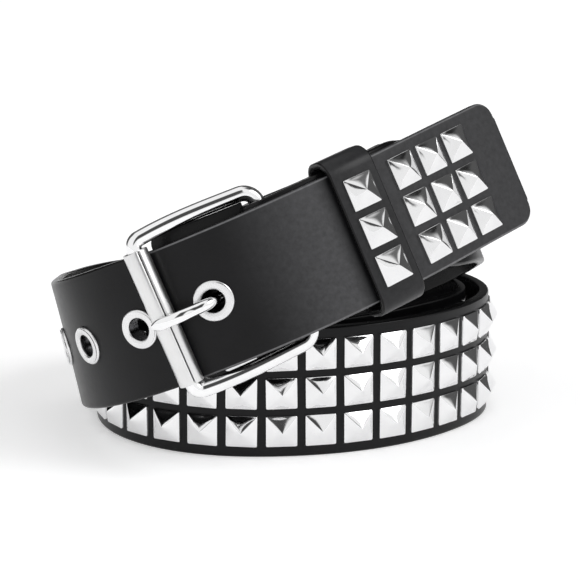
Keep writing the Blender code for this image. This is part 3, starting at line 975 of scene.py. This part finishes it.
def keeperRings():
    low = (-halfWidth - keeper["play"], -2 * plainLayer - halfThickness - keeper["slack"])
    high = (halfWidth + keeper["play"], seat)
    thick = keeper["thickness"]
    inside = roundedOutline(low, high, keeper["corner"])
    outLow = [value - thick for value in low]
    outHigh = [value + thick for value in high]
    outside = roundedOutline(outLow, outHigh, keeper["corner"] + thick)
    half, small = keeper["width"] / 2, keeper["edgeRound"]
    strip = []
    for place, share, start in (
        (half - small, 1 - small / thick, 90),
        (half - small, small / thick, 0),
        (small - half, small / thick, 270),
        (small - half, 1 - small / thick, 180),
    ):
        for step in range(5):
            angle = math.radians(start - 90 * step / 4)
            level = share + small / thick * math.sin(angle)
            strip.append((place + small * math.cos(angle), level))
    rings = []
    for innerPoint, outerPoint in zip(inside, outside):
        ring = []
        for place, share in strip:
            v, n = innerPoint + (outerPoint - innerPoint) * share
            ring.append(onRoute(keeperAt + place, v, n))
        rings.append(ring)
    return rings


rings = keeperRings()
# points 0, 9, 10 and 19 of a ring end its two faces, and the others are its rounded edges
keeperEdges = [0.0 if i in (0, 9, 10, 19) else 1.0 for i in range(20)] * len(rings)
# the keeper's faces get a lighter grey: painted sheen
keeperSheen = [keeper["worn"] * (1 - edge) for edge in keeperEdges]
keeperShares = {"edge": keeperEdges, "worn": keeperSheen}
loftPiece("keeperLoop", rings, blackLeather, ["keeper"], True, 35, keeperShares)
print("keeper made")

# Buckle
barWay = routeAt(hingeAt)[2]
reachWay = rollerAxis - hingeAxis
reachWay = unit(reachWay - barWay * (reachWay @ barWay))
buckleFace = np.cross(barWay, reachWay)
frameReach = (rollerAxis - hingeAxis) @ reachWay
barHalf = halfWidth + buckle["play"] + wireRadius


def onBuckle(reach, across, outward):
    aside = barWay * (across + frameLift)
    return hingeAxis + reachWay * reach + aside + buckleFace * outward


def frameOutline():
    corner, hingeCorner = buckle["corner"], buckle["hingeCorner"]
    sideRun = frameReach - corner - hingeCorner
    turns = [math.radians(90 * step / 10) for step in range(11)]
    half = [
        (frameReach - corner * (1 - math.cos(angle)), barHalf - corner * (1 - math.sin(angle)))
        for angle in turns
    ]
    shares = [0, *(share for share, _ in buckle["bowTable"]), 1]
    bows = [0, *(bow for _, bow in buckle["bowTable"]), 0]
    shareSteps = np.linspace(0, 1, 30)[1:-1]
    bowSteps = spline(np.array(shares), np.array(bows)[:, None], shareSteps)[:, 0]
    for share, bow in zip(shareSteps, bowSteps):
        half.append((frameReach - corner - sideRun * share, barHalf + buckle["bow"] * bow))
    half += [
        (hingeCorner * (1 - math.sin(angle)), barHalf - hingeCorner * (1 - math.cos(angle)))
        for angle in turns
    ]
    return np.array(half + [(reach, -across) for reach, across in reversed(half)])


outline = frameOutline()
tangents = unit(np.roll(outline, -1, axis=0) - np.roll(outline, 1, axis=0))
rings = []
for place, tangent in zip(outline, tangents):
    out = np.array([tangent[1], -tangent[0]])
    rings.append(
        [
            onBuckle(*(place + out * (wireRadius * way[0])), wireRadius * way[1])
            for way in circleWays(buckle["wireSides"])
        ]
    )
loftPiece("frameWire", rings, polishedChrome, ["buckle_frame"], True)
print("frame made")

# Roller, a sheet rolled into a tube with its seam on the side of the strap's tip
roller = {
    "wall": 0.00095,
    "seamAngle": 84,
    "seamHalf": 4.0,
    "seamLip": 0.00012,
    "sides": 60,
    "endRound": 0.00025,
}
rollerLength = 2 * (barHalf - buckle["corner"] - belt["clearance"])


def rollerSection(trim):
    start = roller["seamAngle"] + roller["seamHalf"]
    sweep = 360 - 2 * roller["seamHalf"]
    outer, inner = rollerRadius - trim, rollerRadius - roller["wall"] + trim * 0.5
    section = []
    for i in range(roller["sides"] + 1):
        angle = math.radians(start + sweep * i / roller["sides"])
        lip = roller["seamLip"] if i in (0, roller["sides"]) else 0
        section.append(((outer - lip) * math.cos(angle), (outer - lip) * math.sin(angle)))
    for i in reversed(range(roller["sides"] + 1)):
        angle = math.radians(start + sweep * i / roller["sides"])
        section.append((inner * math.cos(angle), inner * math.sin(angle)))
    return section


rings = []
roundness = roller["endRound"]
for across, trim in (
    (-rollerLength / 2, roundness),
    (-rollerLength / 2 + roundness * 0.3, roundness * 0.3),
    (-rollerLength / 2 + roundness, 0),
    (0, 0),
    (rollerLength / 2 - roundness, 0),
    (rollerLength / 2 - roundness * 0.3, roundness * 0.3),
    (rollerLength / 2, roundness),
):
    rings.append([onBuckle(frameReach - a, across, b) for a, b in rollerSection(trim)])
loftPiece("rollerTube", rings, satinChrome, ["roller"], False, 30)
print("roller made")

# Prong, a rod from a ring round the hinge bar, up through the eyelet and on to the roller
prong = {
    "tipWidth": 0.0032,
    "tipThickness": 0.0020,
    "shortOfRoller": 0.0020,
    "widened": 1.13,
    "thickened": 1.08,
    "endTaper": 0.0030,
    "endNarrowing": 0.45,
    "ringRound": 0.0003,
    "ringSides": 48,
    "sections": 90,
    "sides": 24,
}


# rows of: along from the hole's middle, level over the route, half width, half thickness
def prongPath():
    underLevel = -seat - eyelet["backThickness"] - 2 * belt["clearance"] - prongRadius
    overLevel = seat + eyelet["rim"] + 2 * belt["clearance"] + prongRadius
    tipHalf = prong["tipThickness"] / 2
    tipLevel = seat + buckle["rollerDiameter"] + belt["clearance"] + tipHalf
    ringMiddle = wireRadius + belt["clearance"] + prongRingWall / 2
    hingeLevel = -plainLayer - foldRadius
    hole, flat = eyelet["hole"] / 2, prong["tipWidth"] / 2
    toHinge, toRoller = buckle["holeToHinge"], buckle["holeToRoller"]
    ringTop = toHinge - ringMiddle * 0.6
    end = -toRoller - rollerRadius + prong["shortOfRoller"]
    r = prongRadius
    return np.array(
        [
            (ringTop, hingeLevel + ringMiddle * 0.8, r, prongRingWall * 0.42),
            (toHinge - ringMiddle * 1.5, underLevel * 1.1, r, r * 0.8),
            (toHinge * 0.5, underLevel, r, r),
            (hole * 1.5, underLevel, r, r),
            (hole * 0.5, underLevel * 0.85, r, r),
            (hole * 0.2, underLevel * 0.45, r, r),
            (0, overLevel * 0.30, r, r),
            (-hole * 0.5, overLevel * 0.85, r, r),
            (-hole * 1.5, overLevel * 1.22, r, r),
            (-toRoller * 0.6, tipLevel * 0.83, r * 1.05, r * 0.9),
            (-toRoller * 0.8, tipLevel * 0.97, flat * 0.95, tipHalf),
            (-toRoller, tipLevel, flat, tipHalf),
            (end, tipLevel * 0.99, flat * 0.85, tipHalf),
        ]
    )


rows = prongPath()
run = np.concatenate([[0], np.cumsum(np.linalg.norm(np.diff(rows[:, :2], axis=0), axis=1))])
places = np.linspace(0, run[-1], prong["sections"])
steps = spline(run, rows, places)
middles = np.array([onRoute(holeAt + along, 0, level) for along, level in steps[:, :2]])
ups = np.cross(unit(np.gradient(middles, axis=0)), barWay)
rings = []
for place, middle, up, (_, _, wide, thick) in zip(places, middles, ups, steps):
    ending = max(0, 1 - (run[-1] - place) / prong["endTaper"])
    shrink = 1 - prong["endNarrowing"] * ending**2
    wide, thick = wide * prong["widened"] * shrink, thick * prong["thickened"] * shrink
    rings.append(
        [
            middle + barWay * (wide * way[0]) + up * (thick * way[1])
            for way in circleWays(prong["sides"])
        ]
    )
prongPiece = loftPiece("prongRod", rings, polishedChrome, ["prong"], False)
bore, small = wireRadius + belt["clearance"], prong["ringRound"]
ringProfile = (
    (-prongRadius, bore),
    (-prongRadius, prongRingRadius - small),
    (-prongRadius + small, prongRingRadius),
    (prongRadius - small, prongRingRadius),
    (prongRadius, prongRingRadius - small),
    (prongRadius, bore),
)
rings = [
    [onBuckle(r * way[0], across - frameLift, r * way[1]) for across, r in ringProfile]
    for way in circleWays(prong["ringSides"])
]
prongRing = loftPiece("prongRing", rings, polishedChrome, [], True)
carve(prongPiece, [prongRing], "UNION")
print("prong made")

# Floor, light and camera
studio = {
    "white": 1.0,
    "floor": (0.93, 0.93, 0.935),
    "floorFibre": (0.95, 0.95, 0.955),
    "fibreScale": 900,
    "floorGlow": 0.36,
    "sunAt": (0.68, -0.32, 0.68),
    "sunAngle": 28,
    "sunStrength": 0.8,
    "cameraDown": 11.96,
    "lens": 2075.3 / 580 * 36,
    # dark cloths round the belt: bearing from the camera's side toward the right, from and to,
    # its softness, height from and to, its softness, and the share of light that they take
    "flags": [
        (-7, 21, 3, 0.22, 0.88, 0.04, 0.93),
        (100, 400, 8, -1.0, 0.92, 0.04, 0.90),
        (-400, -98, 8, -1.0, 0.80, 0.08, 0.90),
        (58, 140, 12, 0.86, 0.975, 0.03, 0.84),
    ],
}


# one inside the ends, none outside, smooth between
def smoothBand(table, value, low, high, soft):
    rise, fall = (
        table.number(
            "MapRange",
            {"interpolation_type": "SMOOTHSTEP"},
            {"Value": value, "From Min": place - soft, "From Max": place + soft},
        )
        for place in (low, high)
    )
    return rise * (1 - fall)


def makeWorld():
    world = bpy.data.worlds.new("studioTent")
    bpy.context.scene.world = world
    world.use_nodes = True
    table = NodeTable(world.node_tree)
    way = table.number("TexCoord", output=0)
    split = table.add("SeparateXYZ", {}, {0: way})
    right, back, height = (Number(table.tree, split.outputs[i]) for i in range(3))
    bearing = right.calculate("ARCTAN2", right, 0 - back) * (180 / math.pi)
    light = 1.0
    for left, rightEnd, soft, low, high, softHeight, share in studio["flags"]:
        flag = smoothBand(table, bearing, left, rightEnd, soft)
        light = (1 - flag * smoothBand(table, height, low, high, softHeight) * share) * light
    background = world.node_tree.nodes["Background"]
    table.tree.links.new((light * studio["white"]).socket, background.inputs["Strength"])
    background.inputs["Color"].default_value = (1, 1, 1, 1)


makeWorld()

bpy.ops.mesh.primitive_plane_add(size=40)
floor = bpy.context.object
floor.name = "floor"
paperLook = {
    "Roughness": 0.75,
    "Specular IOR Level": 0.2,
    "Emission Color": (1, 1, 1, 1),
    "Emission Strength": studio["floorGlow"],
}
paper, paperTable, paperShader = newFinish("paper", paperLook)
paperPlace = paperTable.number("TexCoord", output=3)
fibreLook = {"Vector": paperPlace, "Scale": studio["fibreScale"], "Detail": 2}
fibres = paperTable.number("TexNoise", {}, fibreLook)
paperColour = paperTable.mixColours(fibres, studio["floor"], studio["floorFibre"])
feed(paperTable, paperShader, "Base Color", paperColour)
floor.data.materials.append(paper)

sunData = bpy.data.lights.new("softSun", "SUN")
sunData.energy = studio["sunStrength"]
sunData.angle = math.radians(studio["sunAngle"])
sun = bpy.data.objects.new("softSun", sunData)
bpy.context.scene.collection.objects.link(sun)
sun.rotation_euler = Vector(studio["sunAt"]).to_track_quat("Z", "Y").to_euler()

cameraData = bpy.data.cameras.new("camera")
camera = bpy.data.objects.new("camera", cameraData)
bpy.context.scene.collection.objects.link(camera)
cameraData.sensor_width = 36
cameraData.lens = studio["lens"]
camera.location = cameraPlace
camera.rotation_euler = (math.radians(90 - studio["cameraDown"]), 0, 0)
bpy.context.scene.camera = camera
bpy.context.scene.view_settings.view_transform = "Standard"
print("studio made")
